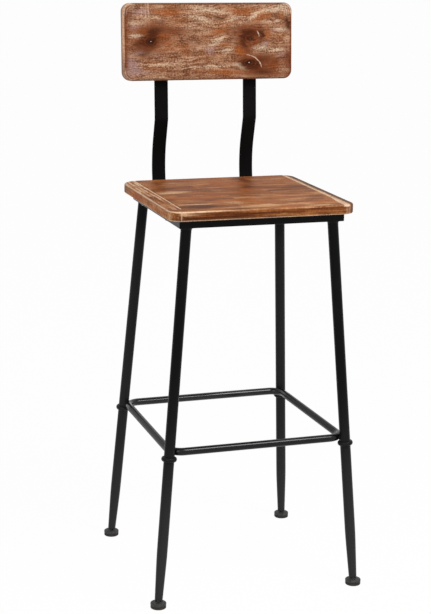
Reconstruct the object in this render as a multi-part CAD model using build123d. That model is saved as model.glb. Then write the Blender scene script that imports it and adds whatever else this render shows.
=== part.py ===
from build123d import *
import os
from math import asin, cos, radians, sin, sqrt, tan

# Bar stool with footrest and backrest. Millimetres, +Z up, the sitter faces -Y.
# Left and right are as seen from in front, so left is -X.
# The origin lies on the floor, midway between the four feet.

# Seat: planks and strips glued edge to edge, grain along X
seat_height = 750.0
seat_width = 358.0
seat_depth = 346.0
seat_thickness = 18.0
seat_forward = 9.75             # seat centre ahead of the feet's centre
seat_corner_radius = 25.0
seat_rear_left_radius = 38.0    # the rear left corner is taken off further
seat_edge_radius = 3.0
seat_plank_count = 4
front_strip_width = 28.0
left_strip_width = 30.0
right_strip_width = 15.0
joint_groove_depth = 1.0        # V groove along the two strips at the sides

# Seat frame: rectangular steel tube, mitred and welded
rail_height = 15.0
rail_width = 25.0
rail_wall = 1.5
rail_edge_radius = 1.5
seat_overhang_side = 20.0
seat_overhang_front = 13.0
seat_overhang_rear = 26.0

# Legs: round steel tube, swaged to a narrower tip
leg_diameter = 20.0
leg_wall = 1.5
leg_tip_diameter = 15.0
leg_taper_length = 85.0
leg_top_inset_x = 17.0          # leg axis at the rail's underside, in from the frame's outer faces
leg_top_inset_y = 13.5
stance_front = 395.0            # between the front feet
stance_rear = 378.5
stance_depth = 374.5
leg_weld_size = 2.5

# Footrest: one round bar bent to a ring inside the legs, resting on a bead collar on each leg
footrest_diameter = 14.5
footrest_height = 296.0         # bar centre, midway between front and rear
footrest_fall = 2.8             # from front to rear
footrest_bend_radius = 26.0
footrest_bite = 1.0             # depth of the saddle where the ring is welded to a leg
collar_bead_radius = 4.6
collar_gap = 0.1                # between a collar and the ring above it
collar_fit = 0.03               # between a collar and its leg

# Back bars: flat steel bent forward under the seat at the foot
bar_width = 27.0
bar_thickness = 5.0
bar_spacing = 184.0
bar_foot_end = 8.0              # past the front of the rear rail
bar_foot_radius = 14.5
bar_low_lean = 15.3             # degrees back from vertical, going up, below the lumbar bend
bar_bow_above_seat = 29.3
bar_bow_radius = 182.0
bar_mid_lean = 15.0             # degrees forward from vertical, going up
bar_kink_above_seat = 118.0
bar_kink_behind_seat = 10.25    # bar centre behind the seat's rear edge at the kink
bar_kink_radius = 20.0
bar_top_lean = 4.0              # degrees back from vertical, going up
bar_past_bolt = 14.5            # bar end above its upper bolt

# Backrest board
panel_width = 346.0
panel_height = 149.0
panel_thickness = 22.0
panel_corner_radius = 17.0
panel_edge_radius = 2.5
panel_above_kink = 76.5

# Fasteners
seat_screw_diameter = 4.0
seat_screw_bite = 12.0          # length in the wood
seat_screw_head_diameter = 8.0
seat_screw_head_height = 2.4
bolt_diameter = 6.0
bolt_head_diameter = 11.0
bolt_head_height = 3.3
bolt_hole_clearance = 0.4       # on diameter
thread_fit = 0.05               # radial, between a thread's two sides
foot_bolt_spacing = 13.0
nut_width = 10.0                # across flats
nut_height = 5.0
bolt_end_past_nut = 1.0
panel_bolt_margin = 39.5        # from the board's top and bottom edges
insert_diameter = 9.0
insert_length = 13.0

# Feet: swivel levelling glides
foot_diameter = 30.0
sole_height = 5.6
sole_edge_radius = 1.3
sole_inset = 0.2                # sole rim inside the cap's rim
cap_rim_top = 9.4
cap_top = 12.4
cap_mouth_diameter = 13.0
cap_neck_diameter = 8.8
cap_edge_radius = 1.0
ball_diameter = 11.0
ball_height = 7.0               # ball centre above the floor
ball_fit = 0.05                 # radial
neck_diameter = 6.4
stud_diameter = 8.0
stud_fit = 0.05                 # radial, thread in its bush
stud_end = 26.0                 # past the leg's tip
stop_flange_diameter = 11.0
stop_flange_thickness = 0.8
stop_gap = 0.1                  # flange to leg tip, screwed fully in
leg_tip_above_ball = 8.6
bush_length = 21.0
bush_fit = 0.03
bush_recess = 1.0

# Places that follow from the sizes above
seat_bottom = seat_height - seat_thickness
rail_bottom = seat_bottom - rail_height
seat_front = -seat_forward - seat_depth / 2
seat_rear = -seat_forward + seat_depth / 2
frame_width = seat_width - 2 * seat_overhang_side
frame_front = seat_front + seat_overhang_front
frame_rear = seat_rear - seat_overhang_rear
frame_depth = frame_rear - frame_front
frame_centre_y = (frame_front + frame_rear) / 2
leg_radius = leg_diameter / 2
tip_radius = leg_tip_diameter / 2
footrest_radius = footrest_diameter / 2
bolt_radius = bolt_diameter / 2
bolt_hole_radius = (bolt_diameter + bolt_hole_clearance) / 2
screw_radius = seat_screw_diameter / 2
screw_hole_radius = screw_radius + bolt_hole_clearance / 2
ball_radius = ball_diameter / 2
inner_tip_radius = tip_radius - leg_wall

CORNERS = {
    "front_left": (-1, -1),
    "front_right": (1, -1),
    "rear_left": (-1, 1),
    "rear_right": (1, 1),
}


def save(shape, name):
    export_step(shape, f"parts/{name}.step")


def up_cylinder(radius, x, y, low, high):
    return Pos(x, y, (low + high) / 2) * Cylinder(radius, high - low)


def rounded_board(outline, thickness, edge):
    """A board in the XY plane with softened edges, its lower face at z = 0."""
    board = extrude(outline, thickness)
    rims = board.faces().sort_by(Axis.Z)[0].edges() + board.faces().sort_by(Axis.Z)[-1].edges()
    return fillet(rims, edge)


def block(x0, x1, y0, y1, z0, z1):
    return Pos((x0 + x1) / 2, (y0 + y1) / 2, (z0 + z1) / 2) * Box(x1 - x0, y1 - y0, z1 - z0)


# Legs and their axes

def foot_point(side, end):
    stance = stance_front if end < 0 else stance_rear
    return Vector(side * stance / 2, end * stance_depth / 2, ball_height)


def leg_top(side, end):
    y = frame_front + leg_top_inset_y if end < 0 else frame_rear - leg_top_inset_y
    return Vector(side * (frame_width / 2 - leg_top_inset_x), y, rail_bottom)


def leg_plane(side, end):
    """Frame of one leg: origin at the ball of its foot, local Z up along the leg."""
    foot = foot_point(side, end)
    return Plane(origin=foot, x_dir=(1, 0, 0), z_dir=leg_top(side, end) - foot)


def leg_at_height(side, end, height):
    foot = foot_point(side, end)
    rise = leg_top(side, end) - foot
    return foot + rise * ((height - foot.Z) / rise.Z)


def leg_length(side, end):
    return (leg_top(side, end) - foot_point(side, end)).length


def turned(points, side, end):
    """Body of revolution about a leg's axis from (radius, distance along the axis) points."""
    profile = make_face(Polyline(*[(r, 0, s) for r, s in points], close=True))
    return leg_plane(side, end) * revolve(profile, Axis.Z)


def make_leg(side, end):
    tip = leg_tip_above_ball
    taper_end = tip + leg_taper_length
    top = leg_length(side, end)
    over = top + leg_diameter
    bush_top = tip + bush_recess + bush_length + leg_wall
    weld = leg_weld_size
    outline = [
        (inner_tip_radius, tip),
        (tip_radius, tip),
        (leg_radius, taper_end),
        (leg_radius, top - 2 * weld),
        (leg_radius + weld / 3, top - weld),
        (leg_radius + weld, top),
        (leg_radius + weld, over),
        (leg_radius - leg_wall, over),
        (leg_radius - leg_wall, taper_end),
        (inner_tip_radius, bush_top),
    ]
    above_frame = leg_length(side, end)
    trim = Pos(0, 0, rail_bottom + above_frame / 2) * Box(2 * seat_width, 2 * seat_depth, above_frame)
    return turned(outline, side, end) - trim


def make_bush(side, end):
    low = leg_tip_above_ball + bush_recess
    bore = stud_diameter / 2 + stud_fit
    outer = inner_tip_radius - bush_fit
    high = low + bush_length
    return turned([(bore, low), (outer, low), (outer, high), (bore, high)], side, end)


# Feet

def make_stem(side, end):
    tip = leg_tip_above_ball
    flange_top = tip - stop_gap
    flange_low = flange_top - stop_flange_thickness
    neck = neck_diameter / 2
    flange = stop_flange_diameter / 2
    stud = stud_diameter / 2
    shaft = turned([
        (0, 0),
        (neck, 0),
        (neck, flange_low),
        (flange, flange_low),
        (flange, flange_top),
        (stud, flange_top),
        (stud, tip + stud_end - 1),
        (stud - 1, tip + stud_end),
        (0, tip + stud_end),
    ], side, end)
    return shaft + Pos(foot_point(side, end)) * Sphere(ball_radius)


def make_cap(side, end):
    rim = foot_diameter / 2
    mouth = cap_mouth_diameter / 2
    dome = Polyline((0, 0, sole_height), (rim, 0, sole_height), (rim, 0, cap_rim_top))
    crown = ThreePointArc((rim, 0, cap_rim_top), crown_middle(rim, mouth), (mouth, 0, cap_top))
    close = Polyline((mouth, 0, cap_top), (0, 0, cap_top), (0, 0, sole_height))
    body = revolve(make_face(dome + crown + close), Axis.Z)
    low_rim = body.edges().filter_by(GeomType.CIRCLE).group_by(Axis.Z)[0]
    body = fillet(low_rim, cap_edge_radius)
    socket = ball_radius + ball_fit
    neck_low = ball_height + sqrt(socket ** 2 - (cap_neck_diameter / 2) ** 2)
    flare = Pos(0, 0, (neck_low + cap_top) / 2) * Cone(cap_neck_diameter / 2, mouth, cap_top - neck_low)
    ball_room = Pos(0, 0, ball_height) * Sphere(socket)
    below_ball = up_cylinder(socket, 0, 0, sole_height - 1, ball_height)
    foot = foot_point(side, end)
    return Pos(foot.X, foot.Y, 0) * (body - flare - ball_room - below_ball)


def crown_middle(rim, mouth):
    """Middle of the arc that leaves the cap's mouth level and comes down to its rim."""
    run = rim - mouth
    drop = cap_top - cap_rim_top
    radius = (run ** 2 + drop ** 2) / (2 * drop)
    half = asin(run / radius) / 2
    return (mouth + radius * sin(half), 0, cap_top - radius * (1 - cos(half)))


def make_sole(side, end):
    disc = extrude(Circle(foot_diameter / 2 - sole_inset), sole_height)
    disc = fillet(disc.edges().filter_by(GeomType.CIRCLE), sole_edge_radius)
    socket = ball_radius + ball_fit
    pocket = Pos(0, 0, ball_height) * Sphere(socket)
    foot = foot_point(side, end)
    return Pos(foot.X, foot.Y, 0) * (disc - pocket)


# Footrest

def footrest_level(end):
    return footrest_height - end * footrest_fall / 2


def footrest_corner(side, end):
    """Sharp corner of the ring's centre line, placed so that the bend's middle bites the leg."""
    leg = leg_at_height(side, end, footrest_level(end))
    reach = footrest_bend_radius + leg_radius + footrest_radius - footrest_bite
    inset = reach / sqrt(2) - footrest_bend_radius
    return Vector(leg.X - side * inset, leg.Y - end * inset, footrest_level(end))


def make_footrest():
    order = ["front_left", "front_right", "rear_right", "rear_left"]
    points = [footrest_corner(*CORNERS[name]) for name in order]
    loop = make_face(Polyline(*points, close=True))
    loop = fillet(loop.vertices(), footrest_bend_radius)
    path = loop.face().outer_wire()
    start = path @ 0
    section = Plane(origin=start, z_dir=path % 0) * Circle(footrest_radius)
    ring = sweep(section, path=path)
    for side, end in CORNERS.values():
        ring -= leg_plane(side, end) * Pos(0, 0, leg_length(side, end) / 2) * Cylinder(
            leg_radius, leg_length(side, end) - 2 * leg_taper_length)
    return ring


def make_collar(side, end):
    across = footrest_radius - footrest_bite
    touch = footrest_radius + collar_bead_radius + collar_gap
    height = footrest_level(end) - sqrt(touch ** 2 - across ** 2)
    along = (leg_at_height(side, end, height) - foot_point(side, end)).length
    bead = Pos(leg_radius, 0, along) * Rot(90, 0, 0) * Circle(collar_bead_radius)
    ring = leg_plane(side, end) * revolve(bead, Axis.Z)
    bore = leg_plane(side, end) * Pos(0, 0, along) * Cylinder(leg_radius + collar_fit, 4 * collar_bead_radius)
    return ring - bore


# Seat frame

def make_frame_tube():
    outer = Pos(0, frame_centre_y, rail_bottom) * extrude(Rectangle(frame_width, frame_depth), rail_height)
    long_edges = outer.edges().filter_by(Axis.Z, reverse=True)
    outer = fillet(long_edges, rail_edge_radius)
    window = Rectangle(frame_width - 2 * rail_width, frame_depth - 2 * rail_width)
    outer -= Pos(0, frame_centre_y, rail_bottom) * extrude(window, rail_height)
    inner = Rectangle(frame_width - 2 * rail_wall, frame_depth - 2 * rail_wall)
    reach = rail_width - rail_wall
    inner_window = Rectangle(frame_width - 2 * reach, frame_depth - 2 * reach)
    hollow = extrude(inner - inner_window, rail_height - 2 * rail_wall)
    return outer - Pos(0, frame_centre_y, rail_bottom + rail_wall) * hollow


def rail_wedges():
    """One mitred prism per rail, seen from above."""
    x0, x1 = frame_width / 2, frame_width / 2 - rail_width
    ys = {-1: (frame_front, frame_front + rail_width), 1: (frame_rear, frame_rear - rail_width)}
    corner = {(s, e): (s * x0, ys[e][0]) for s in (-1, 1) for e in (-1, 1)}
    inside = {(s, e): (s * x1, ys[e][1]) for s in (-1, 1) for e in (-1, 1)}
    ends = {
        "front_rail": ((-1, -1), (1, -1)),
        "rear_rail": ((1, 1), (-1, 1)),
        "left_rail": ((-1, 1), (-1, -1)),
        "right_rail": ((1, -1), (1, 1)),
    }
    wedges = {}
    for name, (a, b) in ends.items():
        outline = make_face(Polyline(corner[a], corner[b], inside[b], inside[a], close=True))
        wedges[name] = Pos(0, 0, rail_bottom) * extrude(outline, rail_height)
    return wedges


def seat_screw_places():
    """Screws up through the rails into the left strip and every plank."""
    front_y = frame_front + 0.75 * rail_width
    strip_x = -(frame_width / 2 - rail_wall + seat_width / 2 - left_strip_width) / 2
    plank_x = -(frame_width / 2 - rail_width + 3 * screw_radius + rail_wall)
    middle_x = frame_width / 2 - rail_width / 2
    rear_y = frame_rear - rail_width / 2
    places = [(x, front_y) for x in (-frame_width / 4, 0, frame_width / 4)]
    places += [(x, rear_y) for x in (-frame_width / 8, frame_width / 8)]
    for index in range(seat_plank_count - 1):
        y = plank_rear(index) - plank_width() / 2
        places += [(plank_x, y), (middle_x, y)]
    places += [(strip_x, plank_rear(index)) for index in range(0, seat_plank_count - 1, 2)]
    return places


def make_seat_screw(x, y):
    shank = up_cylinder(screw_radius, x, y, rail_bottom, seat_bottom + seat_screw_bite)
    head = up_cylinder(seat_screw_head_diameter / 2, x, y, rail_bottom - seat_screw_head_height, rail_bottom)
    rim = head.edges().filter_by(GeomType.CIRCLE).sort_by(Axis.Z)[0]
    return shank + fillet(rim, seat_screw_head_height / 3)


# Seat planks

def plank_width():
    return (seat_depth - front_strip_width) / seat_plank_count


def plank_rear(index):
    return seat_front + front_strip_width + (index + 1) * plank_width()


def seat_outline():
    """The seat's plan: a second, larger rounded rectangle takes the rear left corner off further."""
    spare = seat_width / 2
    larger = RectangleRounded(seat_width + spare, seat_depth + spare, seat_rear_left_radius)
    return RectangleRounded(seat_width, seat_depth, seat_corner_radius) & Pos(spare / 2, -spare / 2) * larger


def seat_pieces():
    """The seat board cut into its strips and planks, with a V groove beside each side strip."""
    board = rounded_board(seat_outline(), seat_thickness, seat_edge_radius)
    board = Pos(0, -seat_forward, seat_bottom) * board
    x_left = -seat_width / 2 + left_strip_width
    x_right = seat_width / 2 - right_strip_width
    y_strip = seat_front + front_strip_width
    side = joint_groove_depth * sqrt(2)
    for x in (x_left, x_right):
        groove = Rot(0, 45, 0) * Box(side, seat_rear - y_strip, side)
        board -= Pos(x, (y_strip + seat_rear) / 2, seat_height) * groove
    for x, y in seat_screw_places():
        board -= up_cylinder(screw_radius + thread_fit, x, y, seat_bottom, seat_bottom + seat_screw_bite)
    low, high = seat_bottom, seat_height
    rooms = {
        "seat_front_strip": block(-seat_width / 2, seat_width / 2, seat_front, y_strip, low, high),
        "seat_left_strip": block(-seat_width / 2, x_left, y_strip, seat_rear, low, high),
        "seat_right_strip": block(x_right, seat_width / 2, y_strip, seat_rear, low, high),
    }
    for index in range(seat_plank_count):
        rear = plank_rear(index)
        rooms[f"seat_plank_{index + 1}"] = block(x_left, x_right, rear - plank_width(), rear, low, high)
    return {name: board & room for name, room in rooms.items()}


# Back bars and backrest

bar_bow_height = seat_height + bar_bow_above_seat
bar_kink_height = seat_height + bar_kink_above_seat
kink_y = seat_rear + bar_kink_behind_seat
bow_y = kink_y + (bar_kink_height - bar_bow_height) * tan(radians(bar_mid_lean))
bar_foot_z = rail_bottom - bar_thickness / 2
heel_y = bow_y - (bar_bow_height - bar_foot_z) * tan(radians(bar_low_lean))
foot_bolt_y = frame_rear - rail_width / 2
back_frame = Pos(0, kink_y, bar_kink_height) * Rot(-bar_top_lean, 0, 0)
panel_rear = -bar_thickness / 2             # in the leaning frame of the bars' upper stretch
panel_bolt_low = panel_above_kink + panel_bolt_margin
panel_bolt_high = panel_above_kink + panel_height - panel_bolt_margin
panel_bolt_heights = [panel_bolt_low, panel_bolt_high]
bar_top = panel_bolt_high + bar_past_bolt


def bar_path():
    top = (back_frame * Pos(0, 0, bar_top)).position
    return FilletPolyline(
        (0, frame_rear - rail_width - bar_foot_end, bar_foot_z),
        (0, heel_y, bar_foot_z),
        (0, bow_y, bar_bow_height),
        (0, kink_y, bar_kink_height),
        top,
        radius=[bar_foot_radius, bar_bow_radius, bar_kink_radius],
    )


def make_back_bar(side):
    path = bar_path()
    section = Plane(origin=path @ 0, x_dir=(1, 0, 0), z_dir=path % 0) * Rectangle(bar_width, bar_thickness)
    bar = Pos(side * bar_spacing / 2, 0, 0) * sweep(section, path=path)
    for x in foot_bolt_places(side):
        bar -= up_cylinder(bolt_hole_radius, x, foot_bolt_y, rail_bottom - bar_thickness, rail_bottom)
    for height in panel_bolt_heights:
        bar -= back_rod(bolt_hole_radius, side, height, -bar_thickness, bar_thickness)
    return bar


def foot_bolt_places(side):
    return [side * bar_spacing / 2 + s * foot_bolt_spacing / 2 for s in (-1, 1)]


def back_rod(radius, side, height, y0, y1):
    """A rod square to the backrest, from y0 to y1 in its leaning frame."""
    rod = Rot(90, 0, 0) * Cylinder(radius, y1 - y0)
    return back_frame * Pos(side * bar_spacing / 2, (y0 + y1) / 2, height) * rod


def make_panel():
    outline = RectangleRounded(panel_width, panel_height, panel_corner_radius)
    board = rounded_board(outline, panel_thickness, panel_edge_radius)
    middle = panel_above_kink + panel_height / 2
    board = back_frame * Pos(0, panel_rear, middle) * Rot(90, 0, 0) * board
    for side in (-1, 1):
        for height in panel_bolt_heights:
            board -= back_rod(insert_diameter / 2, side, height, panel_rear - insert_length, panel_rear)
    return board


def make_panel_bolt(side, height):
    head_face = bar_thickness / 2
    shank = back_rod(bolt_radius, side, height, panel_rear - insert_length + 1, head_face)
    head = back_rod(bolt_head_diameter / 2, side, height, head_face, head_face + bolt_head_height)
    rim = head.edges().filter_by(GeomType.CIRCLE).sort_by(Axis.Y)[-1]
    return shank + fillet(rim, bolt_head_height / 2)


def make_panel_insert(side, height):
    outer = back_rod(insert_diameter / 2, side, height, panel_rear - insert_length, panel_rear)
    return outer - back_rod(bolt_radius + thread_fit, side, height, panel_rear - insert_length, panel_rear)


def make_foot_bolt(x):
    under = rail_bottom - bar_thickness
    end = rail_bottom + rail_wall + nut_height + bolt_end_past_nut
    shank = up_cylinder(bolt_radius, x, foot_bolt_y, under, end)
    head = up_cylinder(bolt_head_diameter / 2, x, foot_bolt_y, under - bolt_head_height, under)
    rim = head.edges().filter_by(GeomType.CIRCLE).sort_by(Axis.Z)[0]
    return shank + fillet(rim, bolt_head_height / 2)


def make_foot_nut(x):
    low = rail_bottom + rail_wall
    nut = extrude(RegularPolygon(nut_width / 2, 6, major_radius=False), nut_height)
    nut = Pos(x, foot_bolt_y, low) * nut
    return nut - up_cylinder(bolt_radius + thread_fit, x, foot_bolt_y, low, low + nut_height)


os.makedirs("parts", exist_ok=True)

frame_tube = make_frame_tube()
for x, y in seat_screw_places():
    frame_tube -= up_cylinder(screw_hole_radius, x, y, rail_bottom, seat_bottom)
foot_bolts = [x for side in (-1, 1) for x in foot_bolt_places(side)]
for x in foot_bolts:
    frame_tube -= up_cylinder(bolt_hole_radius, x, foot_bolt_y, rail_bottom, rail_bottom + rail_wall)
for name, wedge in rail_wedges().items():
    save(frame_tube & wedge, name)

for name, (side, end) in CORNERS.items():
    save(make_leg(side, end), f"leg_{name}")
    save(make_bush(side, end), f"leg_bush_{name}")
    save(make_collar(side, end), f"collar_{name}")
    save(make_stem(side, end), f"foot_stem_{name}")
    save(make_cap(side, end), f"foot_cap_{name}")
    save(make_sole(side, end), f"foot_sole_{name}")

save(make_footrest(), "footrest_ring")

for name, piece in seat_pieces().items():
    save(piece, name)
save(Compound([make_seat_screw(x, y) for x, y in seat_screw_places()]), "seat_screws")

for name, side in (("left", -1), ("right", 1)):
    save(make_back_bar(side), f"back_bar_{name}")
save(make_panel(), "backrest_board")
panel_bolts = [(side, height) for side in (-1, 1) for height in panel_bolt_heights]
save(Compound([make_panel_bolt(*place) for place in panel_bolts]), "backrest_bolts")
save(Compound([make_panel_insert(*place) for place in panel_bolts]), "backrest_inserts")
save(Compound([make_foot_bolt(x) for x in foot_bolts]), "back_bar_bolts")
save(Compound([make_foot_nut(x) for x in foot_bolts]), "back_bar_nuts")
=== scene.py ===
from math import cos, radians, sin, sqrt, tan

import bmesh
import bpy
import numpy as np
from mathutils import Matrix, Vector


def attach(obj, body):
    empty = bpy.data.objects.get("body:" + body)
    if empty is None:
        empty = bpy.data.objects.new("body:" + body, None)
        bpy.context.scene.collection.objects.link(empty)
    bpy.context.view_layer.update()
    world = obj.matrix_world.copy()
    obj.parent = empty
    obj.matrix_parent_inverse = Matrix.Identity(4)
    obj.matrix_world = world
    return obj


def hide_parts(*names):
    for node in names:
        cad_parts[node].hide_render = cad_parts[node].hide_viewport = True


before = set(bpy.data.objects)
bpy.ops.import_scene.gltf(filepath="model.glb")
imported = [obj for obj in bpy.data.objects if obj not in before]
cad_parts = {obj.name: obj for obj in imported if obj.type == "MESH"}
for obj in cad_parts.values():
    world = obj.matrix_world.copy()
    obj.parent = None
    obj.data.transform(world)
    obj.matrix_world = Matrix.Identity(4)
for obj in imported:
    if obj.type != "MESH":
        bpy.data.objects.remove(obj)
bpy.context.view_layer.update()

print("stool: frame loaded,", len(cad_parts), "nodes")

tau = 2 * np.pi
outer = np.multiply.outer


def unit(v):
    # vectors divided by their lengths
    return v / np.linalg.norm(v, axis=-1, keepdims=True)


def around(count):
    # evenly spaced angles of one full turn
    return np.arange(count) * tau / count


def wave(t, seed, count=7, first=1):
    # smooth closed noise: a sum of sines of whole frequencies, with seeded phases and falling heights
    rng = np.random.default_rng(seed)
    k = np.arange(first, first + count)
    phase = rng.uniform(0, tau, count)
    height = rng.uniform(0.5, 1.0, count) / np.sqrt(k)
    return (np.sin(outer(t, k) + phase) * height).sum(-1) / height.sum()


def gridFaces(rows, columns, looped, base):
    # quads between neighbours on a grid whose columns join round, and its rows too where it is looped
    i, j = np.meshgrid(np.arange(rows - (not looped)), np.arange(columns), indexing="ij")
    i2, j2 = (i + 1) % rows, (j + 1) % columns
    corners = [i * columns + j, i * columns + j2, i2 * columns + j2, i2 * columns + j]
    return base + np.stack(corners, -1).reshape(-1, 4)


def addPiece(name, sheets, material, body, nodes=(), sharp=40):
    # one object from several sheets of (points, looped); one that isn't looped gets a cap at each end
    points, faces, base = [], [], 0
    for grid, looped in sheets:
        rows, columns = grid.shape[:2]
        points.append(grid.reshape(-1, 3))
        faces += gridFaces(rows, columns, looped, base).tolist()
        if not looped:
            faces += [(base + row * columns + np.arange(columns)).tolist() for row in (0, rows - 1)]
        base += rows * columns
    mesh = bpy.data.meshes.new(name)
    mesh.from_pydata(np.concatenate(points).tolist(), [], faces)
    shell = bmesh.new()
    shell.from_mesh(mesh)
    bmesh.ops.remove_doubles(shell, verts=shell.verts, dist=1e-7)
    bmesh.ops.dissolve_degenerate(shell, edges=shell.edges, dist=1e-8)
    bmesh.ops.recalc_face_normals(shell, faces=shell.faces)
    shell.to_mesh(mesh)
    shell.free()
    mesh.shade_smooth()
    mesh.set_sharp_from_angle(angle=radians(sharp))
    mesh.materials.append(material)
    piece = bpy.data.objects.new(name, mesh)
    bpy.context.scene.collection.objects.link(piece)
    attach(piece, body)
    if nodes:
        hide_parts(*nodes)


def sideways(axis):
    # two unit vectors square to an axis and to each other
    a = unit(np.cross(axis, (0.0, 1.0, 0.0)))
    return a, np.cross(axis, a)


def spunGrid(origin, axis, t, radius, along):
    # rows of points round an axis: origin + axis*along + radius*(a*cos(t) + b*sin(t))
    a, b = sideways(axis)
    ring = outer(np.cos(t), a) + outer(np.sin(t), b)
    return np.asarray(origin) + along[..., None] * np.asarray(axis) + radius[..., None] * ring


def turnedGrid(profile, origin, axis, count):
    # a profile of (radius, distance) swung round an axis
    radius, along = np.asarray(profile, float).T[..., None]
    return spunGrid(origin, axis, around(count), radius, along)


def arcPoints(r, z, radius, angles):
    # profile points on a circle: (r + radius*cos(v), z + radius*sin(v))
    return [(r + radius * cos(v), z + radius * sin(v)) for v in angles]


def between(start, stop, spacing, last=-1):
    # points on the line from start to stop, evenly about spacing apart; stop itself only where last is None
    runs = max(2, int(np.linalg.norm(stop - start) / spacing))
    return start + outer(np.linspace(0, 1, runs + 1)[1:last], stop - start)


def roundedPath(corners, radii, closed, step):
    # straight runs joined by tangent arcs: each arc starts radius*tan(half the turn) before its corner
    corners = np.asarray(corners, float)
    count, straight = len(corners), 6 * step
    bends = range(count) if closed else range(1, count - 1)
    out = [] if closed else [corners[:1]]
    for i, radius in zip(bends, radii):
        here, before, after = corners[i], corners[i - 1], corners[(i + 1) % count]
        d0, d1 = unit(here - before), unit(after - here)
        turn = np.arccos(np.clip(d0 @ d1, -1, 1))
        start = here - d0 * radius * np.tan(turn / 2)
        inward = unit(d1 - d0 * (d0 @ d1))
        angle = np.linspace(0, turn, max(5, int(radius * turn / step)))
        if out:
            out.append(between(out[-1][-1], start, straight))
        out.append(start + radius * (outer(np.sin(angle), d0) + outer(1 - np.cos(angle), inward)))
    end, last = (out[0][0], -1) if closed else (corners[-1], None)
    out.append(between(out[-1][-1], end, straight, last))
    return np.concatenate(out)


def sweptGrid(path, section, across, closed):
    # a flat section carried along a path: first axis along across, second square to path and across
    ahead, behind = np.roll(path, -1, 0), np.roll(path, 1, 0)
    if not closed:
        ahead[-1], behind[0] = path[-1], path[0]
    tangent = unit(ahead - behind)
    second = unit(np.cross(tangent, across))
    first = np.cross(second, tangent)
    return path[:, None] + section[:, 0, None] * first[:, None] + section[:, 1, None] * second[:, None]


def roundedRectangle(width, height, corner, spacing):
    # outline points and outward normals: four straight sides and four quarter circles, evenly spaced
    pts, nrm = [], []
    middles = [np.array([sx * (width / 2 - corner), sy * (height / 2 - corner)])
               for sx, sy in ((1, 1), (-1, 1), (-1, -1), (1, -1))]
    for k, middle in enumerate(middles):
        angle = np.linspace(0, np.pi / 2, max(4, int(corner * np.pi / 2 / spacing))) + k * np.pi / 2
        normal = np.stack([np.cos(angle), np.sin(angle)], -1)
        start, stop = middle + corner * normal[-1], middles[(k + 1) % 4] + corner * normal[-1]
        side = between(start, stop, spacing)
        pts += [middle + corner * normal, side]
        nrm += [normal, np.repeat(normal[-1:], len(side), 0)]
    return np.concatenate(pts), np.concatenate(nrm)


def rgb(red, green, blue):
    # a screen colour of 0 to 255 as linear light
    c = np.array([red, green, blue]) / 255
    c = np.where(c <= 0.04045, c / 12.92, ((c + 0.055) / 1.055) ** 2.4)
    return (*c.tolist(), 1.0)


def mathsMethod(operation, flipped=False):
    # a maths node as a method of sockets; flipped puts the socket last, for a number on the left
    return lambda self, *other: self.maths(operation, *((*other, self) if flipped else (self, *other)))


class Wire:
    # a shader socket that takes part in Python sums
    def __init__(self, tree, socket=None):
        self.tree, self.socket = tree, socket

    def add(self, kind, settings=None, sockets=None, out=0):
        node = self.tree.nodes.new(kind)
        for key, value in (settings or {}).items():
            if key == "stops":
                ramp = node.color_ramp
                while len(ramp.elements) < len(value):
                    ramp.elements.new(0.5)
                for element, (place, colour) in zip(ramp.elements, value):
                    element.position, element.color = place, colour
            else:
                setattr(node, key, value)
        for key, value in (sockets or {}).items():
            if isinstance(value, Wire):
                self.tree.links.new(value.socket, node.inputs[key])
            else:
                node.inputs[key].default_value = value
        return Wire(self.tree, node.outputs[out])

    def maths(self, operation, *values):
        return self.add("ShaderNodeMath", {"operation": operation}, dict(enumerate(values)))

    __add__, __sub__, __mul__, __pow__ = map(mathsMethod, ("ADD", "SUBTRACT", "MULTIPLY", "POWER"))
    __radd__, __rsub__, __rmul__ = [mathsMethod(name, True) for name in ("ADD", "SUBTRACT", "MULTIPLY")]
    least, most, size, floor, root = map(mathsMethod, ("MINIMUM", "MAXIMUM", "ABSOLUTE", "FLOOR", "SQRT"))

    def step(self, low, high, bottom=0.0, top=1.0):
        # a soft step: bottom below low, top above high
        return self.add("ShaderNodeMapRange", {"interpolation_type": "SMOOTHSTEP"},
                        {"Value": self, "From Min": low, "From Max": high, "To Min": bottom, "To Max": top})

    def fall(self, low, high):
        # a soft step down: 1 below low, 0 above high
        return self.step(low, high, 1.0, 0.0)

    def bell(self, middle, width):
        # exp(-((value - middle) / width)^2)
        d = (self - middle) * (1.0 / width)
        return self.maths("EXPONENT", d * d * -1.0)

    def blend(self, first, second):
        # mixes two colours by this factor
        return self.add("ShaderNodeMix", {"data_type": "RGBA", "clamp_factor": True},
                        {0: self, 6: first, 7: second}, 2)

    def vector(self, operation, *values, out=0):
        return self.add("ShaderNodeVectorMath", {"operation": operation}, dict(enumerate(values)), out)

    def scaled(self, x, y, z): return self.vector("MULTIPLY", self, (x, y, z))
    def plus(self, other): return self.vector("ADD", self, other)

    def times(self, factor):
        # a colour made lighter or darker by a factor
        return self.add("ShaderNodeVectorMath", {"operation": "SCALE"}, {0: self, "Scale": factor})

    def parts(self):
        outs = self.add("ShaderNodeSeparateXYZ", None, {0: self}).socket.node.outputs
        return [Wire(self.tree, outs[i]) for i in range(3)]

    def join(self, x, y, z):
        return self.add("ShaderNodeCombineXYZ", None, {0: x, 1: y, 2: z})

    def noise(self, scale, detail=4.0, roughness=0.55, twist=0.0):
        return self.add("ShaderNodeTexNoise", None, {"Vector": self, "Scale": scale, "Detail": detail,
                                                     "Roughness": roughness, "Distortion": twist})

    def speck(self):
        return self.add("ShaderNodeTexWhiteNoise", {"noise_dimensions": "3D"}, {"Vector": self})

    def ramp(self, stops):
        return self.add("ShaderNodeValToRGB", {"stops": stops}, {0: self})


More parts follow.
